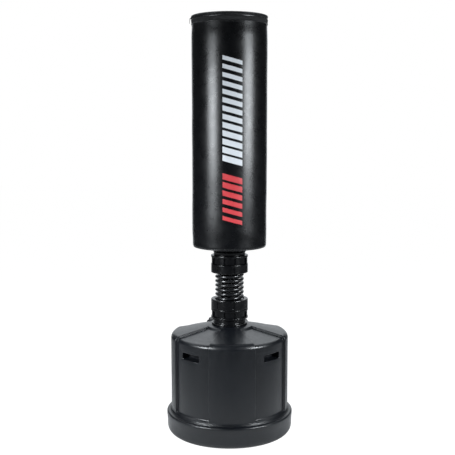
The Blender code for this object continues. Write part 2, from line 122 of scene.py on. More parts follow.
def refine(pts, step, closed=True):
    """Split long spans of an outline."""
    out = []
    count = len(pts)
    for i in range(count if closed else count - 1):
        a, b = Vector(pts[i]), Vector(pts[(i + 1) % count])
        n = max(1, int(math.ceil((b - a).length / step)))
        for k in range(n):
            q = a.lerp(b, k / n)
            out.append((q.x, q.y))
    if not closed:
        out.append(tuple(pts[-1]))
    return out


def grid_faces(rows, cols, wrap_rows, base=0):
    faces = []
    for i in range(rows if wrap_rows else rows - 1):
        a, b = base + i * cols, base + ((i + 1) % rows) * cols
        for j in range(cols):
            k = (j + 1) % cols
            faces.append((a + j, a + k, b + k, b + j))
    return faces


def turn(pts, azimuths, closed=True, centre=(0.0, 0.0), shape=None):
    """Spin an outline. shape(r, z, az) may move a point in or out. Returns verts, faces."""
    az = np.radians(np.asarray(azimuths, float))
    r = np.array([p[0] for p in pts])[:, None] * np.ones(len(az))[None, :]
    z = np.array([p[1] for p in pts])[:, None] * np.ones(len(az))[None, :]
    if shape is not None:
        r, z = shape(r, z, np.degrees(az)[None, :] * np.ones(len(pts))[:, None])
    v = np.stack([centre[0] + r * np.sin(az), centre[1] - r * np.cos(az), z], axis=-1).reshape(-1, 3)
    return v, grid_faces(len(pts), len(az), closed)


def turned(name, pts, mat, steps=128, closed=True, radius=0.0008, n=3, centre=(0.0, 0.0), shape=None,
           azimuths=None, step=None, smooth=38):
    outline = soften(pts, radius, closed, n)
    if step:
        outline = refine(outline, step, closed)
    az = azimuths if azimuths is not None else np.arange(steps) * 360.0 / steps
    v, f = turn(outline, az, closed, centre, shape)
    return raw(name, v, f, mat, smooth, fix=True)


def joined(name, parts, mat, smooth=38):
    """parts: a list of (verts, faces)."""
    verts, faces, base = [], [], 0
    for v, f in parts:
        v = np.asarray(v, float)
        verts.append(v)
        faces += [tuple(i + base for i in face) for face in f]
        base += len(v)
    return raw(name, np.concatenate(verts), faces, mat, smooth)


def tube(path, radius, sides, flat=1.0):
    """A tube along points; returns verts, faces with closed ends."""
    path = [Vector(p) for p in path]
    verts, faces = [], []
    last = len(path) - 1
    for i, p in enumerate(path):
        t = (path[min(i + 1, last)] - path[max(i - 1, 0)]).normalized()
        out = Vector((p.x, p.y, 0.0))
        out = out.normalized() if out.length > 1e-6 else Vector((1, 0, 0))
        up = t.cross(out).normalized()
        out = up.cross(t).normalized()
        for k in range(sides):
            b = 2 * math.pi * k / sides
            verts.append(p + radius * (math.cos(b) * out * flat + math.sin(b) * up))
    for i in range(last):
        for k in range(sides):
            j = (k + 1) % sides
            faces.append((i * sides + k, i * sides + j, (i + 1) * sides + j, (i + 1) * sides + k))
    faces.append(tuple(range(sides))[::-1])
    faces.append(tuple(last * sides + k for k in range(sides)))
    return np.array([tuple(v) for v in verts]), faces


def ring_tube(radius, z, wire, steps=160, sides=10, flat=1.0):
    az = np.arange(steps) * 360.0 / steps
    pts = [(radius + flat * wire * math.cos(2 * math.pi * k / sides), z + wire * math.sin(2 * math.pi * k / sides))
           for k in range(sides)]
    return turn(pts, az, True)


def stitch(length, wide, high):
    """One thread stitch lying along X with its back at Y = 0 and Z across, as verts and faces."""
    xs = (-0.5, -0.36, -0.12, 0.12, 0.36, 0.5)
    lift = (0.15, 0.72, 1.0, 1.0, 0.72, 0.15)
    verts, faces = [], []
    for x, h in zip(xs, lift):
        for a in (-90, -45, 0, 45, 90):
            verts.append((x * length, -high * h * math.cos(math.radians(a)), 0.5 * wide * (0.55 + 0.45 * h) * math.sin(math.radians(a))))
    for i in range(len(xs) - 1):
        for k in range(4):
            faces.append((i * 5 + k, i * 5 + k + 1, (i + 1) * 5 + k + 1, (i + 1) * 5 + k))
    return np.array(verts), faces


def placed(part, matrices):
    v, f = part
    out = []
    for m in matrices:
        mm = np.array(m)
        out.append((v @ mm[:3, :3].T + mm[:3, 3], f))
    return out


def face_out(az, r, z, tilt=0.0):
    """Local X runs round the bag, local -Y points outwards, local Z is up."""
    return (Matrix.Translation(spot(az, r, z)) @ Matrix.Rotation(math.radians(az), 4, 'Z')
            @ Matrix.Rotation(math.radians(tilt), 4, 'Y'))


def bevel_box(size, matrix, width, segments=3):
    bm = bmesh.new()
    bmesh.ops.create_cube(bm, size=1.0, matrix=Matrix.Diagonal((*size, 1.0)))
    bmesh.ops.bevel(bm, geom=bm.edges[:], offset=width, segments=segments, profile=0.5, affect='EDGES')
    bm.transform(matrix)
    v = np.array([tuple(x.co) for x in bm.verts])
    f = [tuple(x.index for x in face.verts) for face in bm.faces]
    bm.free()
    return v, f


def use_boolean(obj, tool, operation):
    mod = obj.modifiers.new("cut", 'BOOLEAN')
    mod.operation = operation
    mod.solver = 'EXACT'
    mod.object = tool
    apply_all(obj)
    bpy.data.objects.remove(tool, do_unlink=True)


def apply_all(obj):
    bpy.context.view_layer.update()
    dg = bpy.context.evaluated_depsgraph_get()
    mesh = bpy.data.meshes.new_from_object(obj.evaluated_get(dg), depsgraph=dg)
    obj.modifiers.clear()
    old = obj.data
    obj.data = mesh
    bpy.data.meshes.remove(old)


def ramp01(x):
    x = np.clip(x, 0.0, 1.0)
    return x * x * (3 - 2 * x)


def wobble(x, y, seed, amount):
    """Smooth, repeatable unevenness made of a few waves."""
    rng = np.random.default_rng(seed)
    out = 0.0
    for k in range(7):
        fx, fy = rng.uniform(-1, 1, 2) * (1.0 + 0.6 * k)
        out = out + np.sin(fx * x + fy * y + rng.uniform(0, 6.28)) / (1.0 + 0.5 * k)
    return amount * out / 3.0


# --------------------------------------------------------------- materials ---
class Mat:
    def __init__(self, name, colour, rough, metal=0.0, **sockets):
        self.mat = bpy.data.materials.new(name)
        self.mat.use_nodes = True
        self.nt = self.mat.node_tree
        self.bsdf = self.nt.nodes["Principled BSDF"]
        self.bsdf.inputs["Base Color"].default_value = (*colour, 1.0)
        self.bsdf.inputs["Roughness"].default_value = rough
        self.bsdf.inputs["Metallic"].default_value = metal
        for key, value in sockets.items():
            self.bsdf.inputs[key.replace("_", " ")].default_value = value
        self.mat.diffuse_color = (*colour, 1.0)
        self.coord = self.nt.nodes.new("ShaderNodeTexCoord").outputs["Object"]
        self.height = None
        self.normal = None

    def stretched(self, scale):
        m = self.nt.nodes.new("ShaderNodeMapping")
        m.inputs["Scale"].default_value = scale
        self.nt.links.new(self.coord, m.inputs["Vector"])
        return m.outputs["Vector"]

    def noise(self, scale, detail=2.0, rough=0.5, vector=None, distortion=0.0):
        n = self.nt.nodes.new("ShaderNodeTexNoise")
        n.inputs["Scale"].default_value = scale
        n.inputs["Detail"].default_value = detail
        n.inputs["Roughness"].default_value = rough
        n.inputs["Distortion"].default_value = distortion
        self.nt.links.new(vector or self.coord, n.inputs["Vector"])
        return n.outputs["Fac"]

    def cells(self, scale, feature='F1', vector=None, smooth=None, out="Distance", random=1.0):
        n = self.nt.nodes.new("ShaderNodeTexVoronoi")
        n.feature = feature
        n.inputs["Scale"].default_value = scale
        n.inputs["Randomness"].default_value = random
        if smooth is not None and "Smoothness" in n.inputs:
            n.inputs["Smoothness"].default_value = smooth
        self.nt.links.new(vector or self.coord, n.inputs["Vector"])
        return n.outputs[out]

    def wave(self, scale, vector=None, direction='Z', distortion=0.0):
        n = self.nt.nodes.new("ShaderNodeTexWave")
        n.wave_type = 'BANDS'
        n.bands_direction = direction
        n.inputs["Scale"].default_value = scale
        n.inputs["Distortion"].default_value = distortion
        self.nt.links.new(vector or self.coord, n.inputs["Vector"])
        return n.outputs["Fac"]

    def remap(self, value, lo, hi, to_lo, to_hi):
        n = self.nt.nodes.new("ShaderNodeMapRange")
        n.inputs["From Min"].default_value = lo
        n.inputs["From Max"].default_value = hi
        n.inputs["To Min"].default_value = to_lo
        n.inputs["To Max"].default_value = to_hi
        self.nt.links.new(value, n.inputs["Value"])
        return n.outputs["Result"]

    def mix_colour(self, fac, a, b):
        n = self.nt.nodes.new("ShaderNodeMix")
        n.data_type = 'RGBA'
        self.nt.links.new(fac, n.inputs["Factor"])
        for sock, val in ((n.inputs[6], a), (n.inputs[7], b)):
            if isinstance(val, tuple):
                sock.default_value = (*val, 1.0)
            else:
                self.nt.links.new(val, sock)
        return n.outputs[2]

    def colour(self, out):
        self.nt.links.new(out, self.bsdf.inputs["Base Color"])

    def rough(self, out):
        self.nt.links.new(out, self.bsdf.inputs["Roughness"])

    def bump(self, height, distance, strength=1.0):
        n = self.nt.nodes.new("ShaderNodeBump")
        n.inputs["Distance"].default_value = distance
        n.inputs["Strength"].default_value = strength
        self.nt.links.new(height, n.inputs["Height"])
        if self.normal is not None:
            self.nt.links.new(self.normal, n.inputs["Normal"])
        self.normal = n.outputs["Normal"]
        self.nt.links.new(self.normal, self.bsdf.inputs["Normal"])


def mat_pu(name, colour=(0.0085, 0.0085, 0.0095), rough=0.34):
    m = Mat(name, colour, rough)
    slow = m.noise(5.0, 3.0, 0.55)
    m.colour(m.mix_colour(m.remap(slow, 0.35, 0.65, 0.0, 1.0), tuple(c * 0.86 for c in colour), tuple(c * 1.16 for c in colour)))
    m.rough(m.remap(m.noise(26.0, 4.0, 0.6), 0.3, 0.7, rough - 0.035, rough + 0.045))
    m.bump(m.noise(9.0, 2.0, 0.5), 0.0022, 0.30)
    m.bump(m.cells(720.0, 'F1'), 0.00010, 0.42)
    m.bump(m.noise(1900.0, 2.0, 0.5), 0.00004, 0.35)
    return m.mat


def mat_tank(name):
    base = (0.0034, 0.0043, 0.0060)
    m = Mat(name, base, 0.33)
    slow = m.noise(7.0, 3.0, 0.5)
    m.colour(m.mix_colour(m.remap(slow, 0.3, 0.7, 0.0, 1.0), tuple(c * 0.88 for c in base), tuple(c * 1.18 for c in base)))
    scuff = m.noise(60.0, 5.0, 0.65, vector=m.stretched((1.0, 1.0, 0.25)))
    m.rough(m.remap(scuff, 0.3, 0.75, 0.28, 0.40))
    m.bump(m.noise(8.0, 2.0, 0.5), 0.0030, 0.22)
    m.bump(m.noise(850.0, 3.0, 0.6), 0.00008, 0.28)
    return m.mat


def mat_gloss(name, base=(0.0048, 0.0048, 0.0055), rough=0.20, grain=0.25):
    m = Mat(name, base, rough)
    m.colour(m.mix_colour(m.noise(40.0, 3.0), tuple(c * 0.8 for c in base), tuple(c * 1.3 for c in base)))
    m.rough(m.remap(m.noise(90.0, 4.0, 0.6), 0.3, 0.7, rough - 0.04, rough + 0.06))
    m.bump(m.noise(45.0, 2.0, 0.5), 0.0004, 0.08)
    m.bump(m.noise(1300.0, 2.0, 0.5), 0.00003, grain)
    return m.mat


def mat_paint(name, base=(0.006, 0.006, 0.0065), rough=0.22):
    """Gloss powder coat with a slight orange peel."""
    m = Mat(name, base, rough, 0.0, Coat_Weight=0.25, Coat_Roughness=0.12)
    m.colour(m.mix_colour(m.noise(120.0, 3.0), tuple(c * 0.8 for c in base), tuple(c * 1.4 for c in base)))
    m.rough(m.remap(m.noise(200.0, 3.0), 0.3, 0.7, rough - 0.03, rough + 0.07))
    m.bump(m.cells(420.0, 'SMOOTH_F1', smooth=0.6), 0.00010, 0.20)
    return m.mat


def mat_zinc(name):
    m = Mat(name, (0.55, 0.55, 0.57), 0.34, 1.0)
    spangle = m.cells(260.0, 'F1', out="Color")
    grey = m.nt.nodes.new("ShaderNodeRGBToBW")
    m.nt.links.new(spangle, grey.inputs[0])
    m.colour(m.mix_colour(grey.outputs[0], (0.46, 0.46, 0.47), (0.66, 0.66, 0.68)))
    m.rough(m.remap(m.noise(300.0, 4.0), 0.3, 0.7, 0.26, 0.44))
    m.bump(m.noise(900.0, 2.0), 0.00004, 0.3)
    return m.mat


def mat_rubber(name, base=(0.014, 0.014, 0.014)):
    m = Mat(name, base, 0.72)
    m.colour(m.mix_colour(m.noise(70.0, 4.0), tuple(c * 0.75 for c in base), tuple(c * 1.4 for c in base)))
    m.rough(m.remap(m.noise(300.0, 3.0), 0.3, 0.7, 0.62, 0.82))
    m.bump(m.noise(1200.0, 3.0), 0.0001, 0.4)
    return m.mat


def mat_foam(name, base=(0.11, 0.11, 0.12)):
    m = Mat(name, base, 0.92)
    pores = m.cells(520.0, 'F1')
    m.colour(m.mix_colour(m.remap(pores, 0.15, 0.7, 0.0, 1.0), tuple(c * 0.55 for c in base), tuple(c * 1.25 for c in base)))
    m.rough(m.remap(m.noise(90.0, 3.0), 0.3, 0.7, 0.86, 0.97))
    m.bump(pores, 0.0007, 0.7)
    m.bump(m.noise(30.0, 3.0), 0.002, 0.3)
    return m.mat


def mat_board(name):
    """Plywood: grain along X on the faces, plies on the edge."""
    m = Mat(name, (0.30, 0.19, 0.10), 0.66)
    grain = m.noise(26.0, 6.0, 0.62, vector=m.stretched((0.6, 9.0, 2.0)), distortion=0.6)
    face = m.mix_colour(m.remap(grain, 0.32, 0.68, 0.0, 1.0), (0.20, 0.115, 0.055), (0.40, 0.265, 0.145))
    ply = m.wave(55.0, direction='Z')
    m.colour(m.mix_colour(m.remap(ply, 0.45, 0.55, 0.0, 0.35), face, (0.13, 0.07, 0.035)))
    m.rough(m.remap(grain, 0.3, 0.7, 0.55, 0.78))
    m.bump(grain, 0.0005, 0.4)
    return m.mat


def mat_tape(name, base=(0.0045, 0.0048, 0.0056), sheen=0.12):
    """Woven polyester tape."""
    m = Mat(name, base, 0.78, Sheen_Weight=sheen, Sheen_Roughness=0.5)
    up = m.wave(420.0, direction='Z')
    across = m.wave(330.0, direction='X')
    both = m.mix_colour(m.noise(900.0, 1.0), up, across)
    grey = m.nt.nodes.new("ShaderNodeRGBToBW")
    m.nt.links.new(both, grey.inputs[0])
    m.colour(m.mix_colour(grey.outputs[0], tuple(c * 0.6 for c in base), tuple(c * 1.6 for c in base)))
    m.rough(m.remap(m.noise(200.0, 3.0), 0.3, 0.7, 0.70, 0.88))
    m.bump(grey.outputs[0], 0.00025, 0.6)
    return m.mat


def mat_thread(name, base=(0.012, 0.012, 0.013)):
    m = Mat(name, base, 0.55)
    ply = m.wave(900.0, direction='DIAGONAL')
    m.colour(m.mix_colour(ply, tuple(c * 0.6 for c in base), tuple(c * 1.8 for c in base)))
    m.rough(m.remap(m.noise(500.0, 2.0), 0.3, 0.7, 0.48, 0.66))
    m.bump(ply, 0.00012, 0.5)
    return m.mat


def mat_print(name, base, rough=0.40):
    """Screen printed ink: the grain shows through, with small specks of wear."""
    m = Mat(name, base, rough)
    tone = m.mix_colour(m.remap(m.noise(18.0, 4.0, 0.6), 0.3, 0.7, 0.0, 1.0), tuple(c * 0.93 for c in base), base)
    speck = m.noise(520.0, 5.0, 0.75)
    m.colour(m.mix_colour(m.remap(speck, 0.69, 0.73, 0.0, 0.55), tone, (0.03, 0.03, 0.03)))
    m.rough(m.remap(m.noise(60.0, 4.0), 0.3, 0.7, rough - 0.05, rough + 0.08))
    m.bump(m.cells(720.0, 'F1'), 0.00009, 0.4)
    m.bump(m.noise(9.0, 2.0, 0.5), 0.0022, 0.30)
    return m.mat


def mat_metal(name, base=(0.012, 0.012, 0.0135), rough=0.32):
    m = Mat(name, base, rough, 0.75)
    m.colour(m.mix_colour(m.noise(250.0, 3.0), tuple(c * 0.7 for c in base), tuple(c * 1.6 for c in base)))
    m.rough(m.remap(m.noise(500.0, 4.0, 0.65), 0.3, 0.7, rough - 0.06, rough + 0.12))
    m.bump(m.noise(700.0, 2.0), 0.00003, 0.35)
    return m.mat


PU = mat_pu("pu_leather_black", (0.0013, 0.0016, 0.0023), 0.28)
PU_LID = mat_pu("pu_leather_lid", (0.0018, 0.0022, 0.0030), 0.34)
TANK = mat_tank("moulded_charcoal")
GLOSS = mat_gloss("gloss_black_plastic", (0.0013, 0.0015, 0.0020), 0.23, 0.10)
CAPP = mat_gloss("cap_black_plastic", (0.009, 0.009, 0.010), 0.34, 0.5)
STEEL = mat_paint("gloss_black_spring", (0.0045, 0.0048, 0.0056), 0.24)
PLATE = mat_paint("black_powder_coat", (0.012, 0.012, 0.013), 0.34)
ZINC = mat_zinc("zinc_plate")
RUBBER = mat_rubber("seal_rubber_black")
FOAM = mat_foam("grey_foam")
BOARD = mat_board("plywood")
TAPE = mat_tape("woven_tape")
FACING = mat_tape("facing_tape", (0.0024, 0.0027, 0.0034), 0.04)
THREAD = mat_thread("black_thread", (0.006, 0.0065, 0.0075))
ZIPM = mat_metal("zip_dark_metal")
WHITE = mat_print("ink_white", (0.62, 0.65, 0.68))
RED = mat_print("ink_red", (0.50, 0.045, 0.052))

# every CAD node gets its finished material; the shown ones among them are replaced below
looks = {
    "lower_spring_plate": PLATE, "upper_spring_plate": PLATE, "core_tube": PLATE,
    "bottom_board": BOARD, "top_board": BOARD, "foam_core": FOAM, "top_pad": FOAM,
    "filler_gasket": RUBBER,
}
for n in ("lower_bolt_1", "lower_bolt_2", "lower_bolt_3", "upper_bolt_1", "upper_bolt_2", "upper_bolt_3",
          "neck_screw_1", "neck_screw_2", "neck_screw_3", "neck_screw_4"):
    looks[n] = ZINC
for n, m in looks.items():
    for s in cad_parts[n].material_slots:
        s.material = m

# --------------------------------------------------------------- base tank ---
BODY_R, RECESS = 0.2400, 0.0090
PLATEAU_R, PLATEAU_Z = 0.0800, 0.4465
SLOPE = 0.2179
POCKET_AZ = (45.0, 135.0, 225.0, 315.0)
PANEL_R = BODY_R - RECESS
PW, PH, PD, PZ, PC = 0.0450, 0.0135, 0.0400, 0.3470, 0.0058      # half width, half height, depth, centre, corner
WIN_Z = np.linspace(0.3252, 0.3688, 23)
WIN_AZ = np.linspace(-15.4, 15.4, 57)


def tank_outline():
    """(r, z) from the middle of the underside, out, up and in to the throat."""
    foot = [(0.0, 0.0100), (0.1780, 0.0100), (0.1920, 0.0), (0.2280, 0.0)]
    for a in (-62, -45, -28, -14, 0):
        foot.append((0.228 + 0.028 * math.cos(math.radians(a)), 0.028 + 0.028 * math.sin(math.radians(a))))
    foot += [(0.2568, 0.0550), (0.2586, 0.0740), (0.2590, 0.0812), (0.2585, 0.0850), (0.2573, 0.0877),
             (0.2553, 0.0894), (0.2522, 0.0903), (0.2466, 0.0909), (0.2449, 0.0916), (0.2440, 0.0938),
             (0.2434, 0.0962), (0.2420, 0.0982), (0.2405, 0.0994)]
    foot = refine(soften(foot, 0.004, False, 3), 0.03, False)
    wall = [(BODY_R, z) for z in (0.1008, 0.1022, 0.1040, 0.1060, 0.1085, 0.1120, 0.120, 0.135, 0.155, 0.180, 0.205,
                                  0.230, 0.255, 0.280, 0.300, 0.314, 0.3215)]
    wall += [(BODY_R, float(z)) for z in WIN_Z] + [(BODY_R, 0.3705), (BODY_R, 0.3727), (BODY_R, 0.3747), (BODY_R, 0.3785), (BODY_R, 0.3830), (BODY_R, 0.3875), (BODY_R, 0.3915)]
    turn_by = 90.0 - math.degrees(math.atan(SLOPE))
    for k in range(1, 17):
        a = math.radians(turn_by * k / 16)
        wall.append((BODY_R - 0.025 + 0.025 * math.cos(a), 0.3915 + 0.025 * math.sin(a)))
    for r in (0.213, 0.205, 0.190, 0.172, 0.155, 0.138, 0.124, 0.114, 0.107, 0.1035, 0.1018, 0.1006, 0.0996, 0.0986, 0.0976, 0.0966,
              0.0957, 0.0945, 0.0920, 0.0860, 0.0825, 0.0808, 0.0790):
        z = PLATEAU_Z - SLOPE * (r - PLATEAU_R)
        if r < 0.0828:
            t = (0.0828 - r) / 0.0040
            z = PLATEAU_Z - SLOPE * 0.0028 * (1 - min(t, 1.0)) ** 2
        wall.append((r, z))
    wall += [(0.0765, PLATEAU_Z), (0.070, PLATEAU_Z), (0.0575, PLATEAU_Z), (0.0563, 0.4460), (0.0560, 0.4452), (0.0560, 0.4380)]
    return foot + wall


# a step between two panels: small rounding on top, steep wall, small fillet at its foot
STEP_AT = (-0.6343, -0.413, -0.2133, -0.0549, 0.0297, 0.0662, 0.3541, 0.3996, 0.4911, 0.6343)
STEP_DEPTH = (0.0, 0.0163, 0.0637, 0.1374, 0.2085, 0.264, 0.8944, 0.9431, 0.9821, 1.0)


def tank_columns():
    out = []
    for k in range(8):
        c = 45.0 * k
        edge = (-0.90,) + STEP_AT + (0.90,) if k % 2 else (-0.90,) + tuple(-e for e in reversed(STEP_AT)) + (0.90,)
        out += [c - 22.5 + e for e in edge]
        if k % 2:
            out += [c + a for a in (-20.6, -19.2, -17.9, -16.6)]
            out += [c + float(a) for a in WIN_AZ]
            out += [c + a for a in (16.6, 17.9, 19.2, 20.6)]
        else:
            out += [c + a for a in np.linspace(-20.2, 20.2, 21)]
    return np.array(out)


def deep(az):
    """1 on the recessed panels, 0 on the raised ones, with rounded steps."""
    off = np.abs((az - 45.0 + 45.0) % 90.0 - 45.0)          # distance from the middle of a recessed panel
    return np.interp(22.5 - off, STEP_AT, STEP_DEPTH)


outline = tank_outline()
cols = tank_columns()
rr = np.array([p[0] for p in outline])
zz = np.array([p[1] for p in outline])
d = np.gradient(np.stack([rr, zz], 1), axis=0)
d /= np.linalg.norm(d, axis=1)[:, None] + 1e-12
nr, nz = -d[:, 1], d[:, 0]                                   # inward normal of the outline
share = ramp01((zz - 0.1000) / 0.0078) * ramp01((rr - 0.0925) / 0.0135)
share[zz < 0.0999] = 0.0
D = RECESS * share[:, None] * deep(cols)[None, :]
R = rr[:, None] + nr[:, None] * D
Z = zz[:, None] + nz[:, None] * D
azr = np.radians(cols)[None, :]
# the blow moulding is not perfectly true: a little slack in the big faces
slack = wobble(np.radians(cols)[None, :] * 3.0, zz[:, None] * 22.0, 11, 0.00035) * ramp01((zz - 0.11) / 0.03)[:, None] * ramp01((rr - 0.10) / 0.04)[:, None]
inwin = (zz[:, None] > 0.3215) & (zz[:, None] < 0.3720) & (deep(cols)[None, :] > 0.99)
R = R + np.where(inwin, 0.0, slack + 0.0004)
V = np.stack([R * np.sin(azr), -R * np.cos(azr), Z], axis=-1)
nrow, ncol = R.shape
faces = []
row0 = int(np.argmin(np.abs(zz - WIN_Z[0]) + (rr < 0.23)))
row1 = int(np.argmin(np.abs(zz - WIN_Z[-1]) + (rr < 0.23)))
windows = []
for c in POCKET_AZ:
    c0 = int(np.argmin(np.abs(cols - (c + WIN_AZ[0]))))
    c1 = int(np.argmin(np.abs(cols - (c + WIN_AZ[-1]))))
    windows.append((c, c0, c1))
for i in range(nrow - 1):
    for j in range(ncol):
        k = (j + 1) % ncol
        if row0 <= i < row1 and any(c0 <= j < c1 for _, c0, c1 in windows):
            continue
        faces.append((i * ncol + j, i * ncol + k, (i + 1) * ncol + k, (i + 1) * ncol + j))
verts = [tuple(v) for v in V.reshape(-1, 3)]
for c, c0, c1 in windows:
    rim = [(row0, j) for j in range(c0, c1)] + [(i, c1) for i in range(row0, row1)]
    rim += [(row1, j) for j in range(c1, c0, -1)] + [(i, c0) for i in range(row1, row0, -1)]
    ids = [i * ncol + j for i, j in rim]
    uz = [(PANEL_R * math.sin(math.radians(cols[j] - c)), zz[i] - PZ) for i, j in rim]
    A = PANEL_R * math.sin(math.radians(WIN_AZ[-1]))
    Bt, Bb = WIN_Z[-1] - PZ, PZ - WIN_Z[0]
    prev = ids
    fil = 0.0022
    plan = [(fil * (1 - math.sin(math.radians(a))), fil * (1 - math.cos(math.radians(a)))) for a in (0, 18, 36, 54, 72, 90)]
    plan += [(-0.0003, 0.010), (-0.0008, 0.022), (-0.0012, PD - 0.004), (-0.0016, PD - 0.0022), (-0.0028, PD - 0.0007), (-0.0050, PD)]
    for grow, depth in plan:
        a, b, q = PW + grow, PH + grow, max(PC + grow, 0.0012)
        ring = []
        for (u, w) in uz:
            x = u * a / A
            y = w * b / (Bt if w > 0 else Bb)
            cx, cy = a - q, b - q
            if abs(x) > cx and abs(y) > cy:
                dx, dy = abs(x) - cx, abs(y) - cy
                # slide along the corner so that the points stay spread round the arc
                ang = math.atan2(dy, dx)
                if dx >= dy:
                    ang = 0.5 * math.pi * 0.5 * (dy / max(dx, 1e-9))
                else:
                    ang = 0.5 * math.pi * (1 - 0.5 * dx / max(dy, 1e-9))
                x = math.copysign(cx + q * math.cos(ang), x)
                y = math.copysign(cy + q * math.sin(ang), y)
            n0 = math.sqrt(max(PANEL_R ** 2 - x * x, 0.0))
            back = PANEL_R - PD
            t = min(depth / PD, 1.0)
            nn = n0 - depth if depth < 0.0025 else (n0 - 0.0022) + (back - (n0 - 0.0022)) * (depth - 0.0022) / (PD - 0.0022)
            p = spot(c, nn) + Vector((math.cos(math.radians(c)), math.sin(math.radians(c)), 0)) * x
            verts.append((p.x, p.y, PZ + y))
            ring.append(len(verts) - 1)
        m = len(ring)
        for k in range(m):
            faces.append((prev[k], prev[(k + 1) % m], ring[(k + 1) % m], ring[k]))
        prev = ring
    faces.append(tuple(prev))
# inside skin, with room for the pockets
inner = [(0.0560, 0.4380), (0.0700, 0.4305), (0.0900, 0.4265), (0.186, 0.4025), (0.1840, 0.0150), (0.0, 0.0150)]
inner = refine(soften(inner, 0.004, False, 2), 0.05, False)
base = len(verts)
iv, if_ = turn(inner[1:], cols, False)
verts += [tuple(v) for v in iv]
last = (nrow - 1) * ncol
for j in range(ncol):
    k = (j + 1) % ncol
    faces.append((last + j, last + k, base + k, base + j))
faces += [tuple(i + base for i in f) for f in if_]
tank = raw("tank_shell", verts, faces, TANK, smooth=32, fix=True)

# filler port: boss, flat seat and bore
FX, FY, SEAT = -0.0573, 0.1105, 0.4280
cyl = np.arange(72) * 5.0


def port(name, pts):
    v, f = turn(pts, cyl, False, (FX, FY))
    return raw(name, v, f, TANK, None, fix=True)


use_boolean(tank, port("boss", [(0.0, SEAT), (0.0290, SEAT), (0.0302, SEAT - 0.0004), (0.0310, SEAT - 0.0015), (0.0316, 0.4030), (0.0, 0.4030)]), 'UNION')
use_boolean(tank, port("seat", [(0.0, 0.470), (0.0362, 0.470), (0.0345, SEAT + 0.0018), (0.0338, SEAT + 0.0006), (0.0326, SEAT + 0.0001), (0.0, SEAT + 0.0001)]), 'DIFFERENCE')
use_boolean(tank, port("bore", [(0.0, 0.480), (0.0190, 0.480), (0.0190, 0.380), (0.0, 0.380)]), 'DIFFERENCE')
tank.data.materials.clear()
tank.data.materials.append(TANK)
tank.data.shade_smooth()
tank.data.set_sharp_from_angle(angle=math.radians(32))
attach(tank, "base")
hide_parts("base_tank")

# filler cap with a fluted edge and a finger bar
def flutes(count, depth, lo, hi, rmin):
    def shape(r, z, az):
        k = (1 - np.abs(np.sin(np.radians(az) * count / 2))) ** 0.8
        m = ((r > rmin) & (z > lo) & (z < hi)).astype(float)
        return r - depth * k * m, z
    return shape


cap_low, cap_top = SEAT + 0.0027, 0.4455
cv, cf = turn(refine(soften([(0.0, cap_top - 0.0035), (0.0148, cap_top - 0.0035), (0.0166, cap_top), (0.0240, cap_top, 0.0022),
                             (0.0260, cap_top - 0.0024, 0.0016), (0.0260, cap_low + 0.0010), (0.0252, cap_low), (0.0176, cap_low),
                             (0.0176, 0.4090), (0.0166, 0.4080), (0.0, 0.4080)], 0.0006, False, 3), 0.0030, False),
              np.arange(216) * 360.0 / 216, False, (FX, FY),
              shape=flutes(36, 0.0010, cap_low + 0.0005, cap_top - 0.0018, 0.0250))
bv, bf = bevel_box((0.0300, 0.0056, 0.0050), Matrix.Translation((FX, FY, cap_top - 0.0027)) @ Matrix.Rotation(0.5, 4, 'Z'), 0.0012)
cap = joined("filler_cap_body", [(cv, cf), (bv, bf)], CAPP)
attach(cap, "cap")
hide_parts("filler_cap")


# ------------------------------------------------------------- sprung neck ---
GRIPS, GRIP_PHASE, LUG_PHASE = 7, 10.3, 24.5
RING_R, WAIST_R, LUG_R, HOUSING_R = 0.0756, 0.0675, 0.0735, 0.0754

neck = turned("neck_foot", [
    (0.0, 0.4940), (0.0598, 0.4940), (0.0600, 0.4935), (0.0600, 0.4720), (0.0664, 0.4715, 0.0010),
    (0.0664, 0.4562, 0.0022), (0.0708, 0.4548, 0.003), (0.0733, 0.4532, 0.0014), (0.0733, 0.4480, 0.0012), (0.0722, 0.4468),
    (0.0556, 0.4468), (0.0556, 0.4060), (0.0505, 0.4060), (0.0505, 0.4850), (0.0, 0.4850)],
    GLOSS, 144, closed=False, radius=0.0007)
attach(neck, "base")
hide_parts("base_neck")


